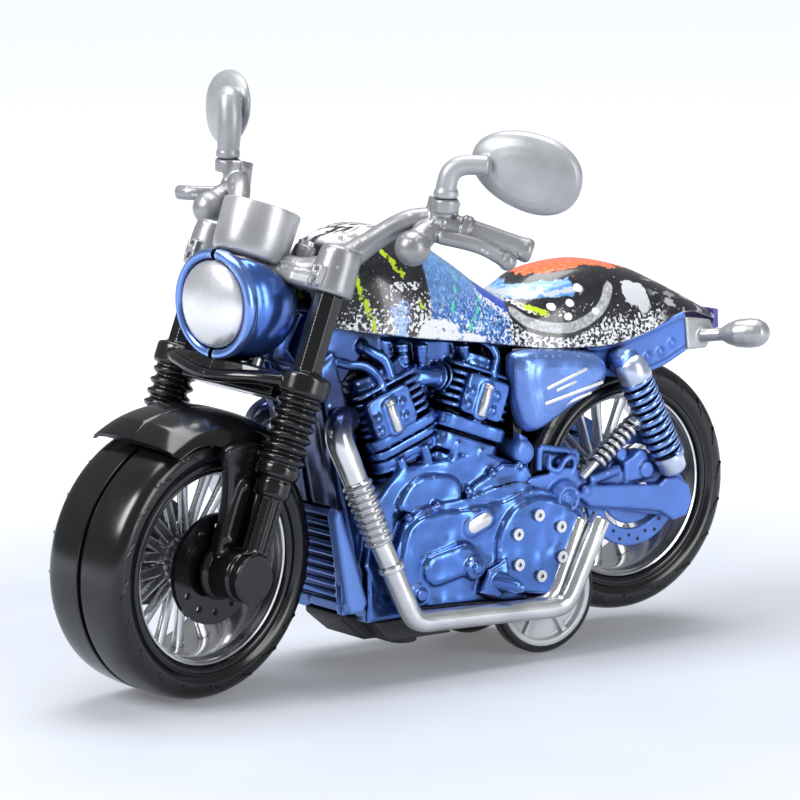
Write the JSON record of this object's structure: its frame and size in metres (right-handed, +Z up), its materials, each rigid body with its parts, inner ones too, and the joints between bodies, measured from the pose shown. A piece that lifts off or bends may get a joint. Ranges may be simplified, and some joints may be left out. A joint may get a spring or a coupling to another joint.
{
  "type": "pull-back toy motorcycle",
  "caption": "Pull-back toy cruiser motorcycle with a printed metal tank and seat shell, plated engine and frame halves, steerable fork and swivelling mirrors.",
  "frame": {"origin": "on the ground, under the middle of the outer box; the toy stands on its front tyre and the two drive wheels", "axes": "+X forward, +Y to the rider's left, +Z up"},
  "size_m": [0.1233, 0.0782, 0.092],
  "materials": {
    "plated_blue": "metallic blue paint over moulded plastic, fine flake, satin-gloss",
    "black_gloss": "gloss black moulding",
    "tyre": "semi-gloss black tyre compound",
    "rim_chrome": "vacuum-plated bright rim",
    "silver_paint": "bright silver paint",
    "bar_grey": "satin silver-grey moulding",
    "mirror_grey": "light satin grey moulding",
    "lens_pearl": "pearl silver paint",
    "printed_shell": "die-cast shell with a gloss splatter print in black, white, blue, orange and yellow",
    "base_black": "matte black moulding",
    "steel": "drawn steel rod",
    "gear_white": "white acetal",
    "brass": "turned brass",
    "spring_steel": "blued spring strip",
    "hub_grey": "light grey moulding",
    "tail_violet": "violet-blue paint"
  },
  "bodies": {
    "chassis": {"engine_half_left": "plated_blue", "engine_half_right": "plated_blue", "rear_frame_left": "plated_blue", "rear_frame_right": "plated_blue", "side_cover_left": "plated_blue", "side_cover_right": "plated_blue", "tank_seat_shell": "printed_shell", "tail_lamp": "tail_violet", "tail_bracket": "bar_grey", "radiator_grille": "plated_blue", "base_plate": "base_black", "exhaust_left": "silver_paint", "exhaust_right": "silver_paint", "shock_left": "plated_blue", "shock_right": "plated_blue", "damper_left": "silver_paint", "damper_right": "silver_paint", "cover_screws": "silver_paint", "engine_trim": "silver_paint", "motor_case_left": "base_black", "motor_case_right": "base_black", "rear_axle": "steel"},
    "steering": {"fork_half_left": "black_gloss", "fork_half_right": "black_gloss", "steering_stem": "steel", "front_axle": "steel", "headlamp_shell_left": "plated_blue", "headlamp_shell_right": "plated_blue", "headlamp_lens": "lens_pearl", "gauge_cup": "bar_grey", "handlebar": "bar_grey", "clamp_screws": "steel"},
    "front_wheel": {"front_rim": "rim_chrome", "front_tyre_left": "tyre", "front_tyre_right": "tyre", "front_disc_left": "black_gloss", "front_disc_right": "black_gloss"},
    "rear_wheel": {"rear_rim": "rim_chrome", "rear_tyre_left": "tyre", "rear_tyre_right": "tyre"},
    "drive_wheels": {"drive_axle": "steel", "drive_pinion": "brass", "drive_hub_left": "hub_grey", "drive_hub_right": "hub_grey", "drive_tyre_left": "tyre", "drive_tyre_right": "tyre"},
    "idler": {"idler_gear": "gear_white"},
    "spring": {"spring_drum": "gear_white", "mainspring": "spring_steel"},
    "mirror_l": {"mirror_left": "mirror_grey"},
    "mirror_r": {"mirror_right": "mirror_grey"}
  },
  "joints": [
    {"name": "steering", "type": "hinge", "parent": "chassis", "child": "steering", "pos_m": [0.03729, 0.0035, 0.021], "axis": [-0.3551, 0, 0.9348], "range_deg": [-30, 6]},
    {"name": "front_wheel_spin", "type": "hinge", "parent": "steering", "child": "front_wheel", "pos_m": [0.04044, 0.00412, 0.02098], "axis": [-0.1944, 0.9781, -0.0738], "continuous": true},
    {"name": "rear_wheel_spin", "type": "hinge", "parent": "chassis", "child": "rear_wheel", "pos_m": [-0.0399, 0.0035, 0.0248], "axis": [0, 1, 0], "continuous": true},
    {"name": "drive_spin", "type": "hinge", "parent": "chassis", "child": "drive_wheels", "pos_m": [-0.0211, 0.0035, 0.0098], "axis": [0, 1, 0], "continuous": true},
    {"name": "idler_spin", "type": "hinge", "parent": "chassis", "child": "idler", "pos_m": [-0.01321, 0.0035, 0.01267], "axis": [0, 1, 0], "continuous": true},
    {"name": "spring_spin", "type": "hinge", "parent": "chassis", "child": "spring", "pos_m": [-0.00841, 0.0035, 0.02099], "axis": [0, 1, 0], "continuous": true},
    {"name": "mirror_left_swivel", "type": "hinge", "parent": "steering", "child": "mirror_l", "pos_m": [0.00554, 0.02585, 0.07567], "axis": [-0.0073, 0.0738, 0.9972], "range_deg": [-30, 30]},
    {"name": "mirror_right_swivel", "type": "hinge", "parent": "steering", "child": "mirror_r", "pos_m": [0.01487, -0.0211, 0.07921], "axis": [-0.0073, 0.0738, 0.9972], "range_deg": [-30, 30]}
  ],
  "couplings": [
    {"joint": "idler_spin", "follows": "drive_spin", "ratio": -0.4},
    {"joint": "spring_spin", "follows": "drive_spin", "ratio": 0.13333}
  ]
}
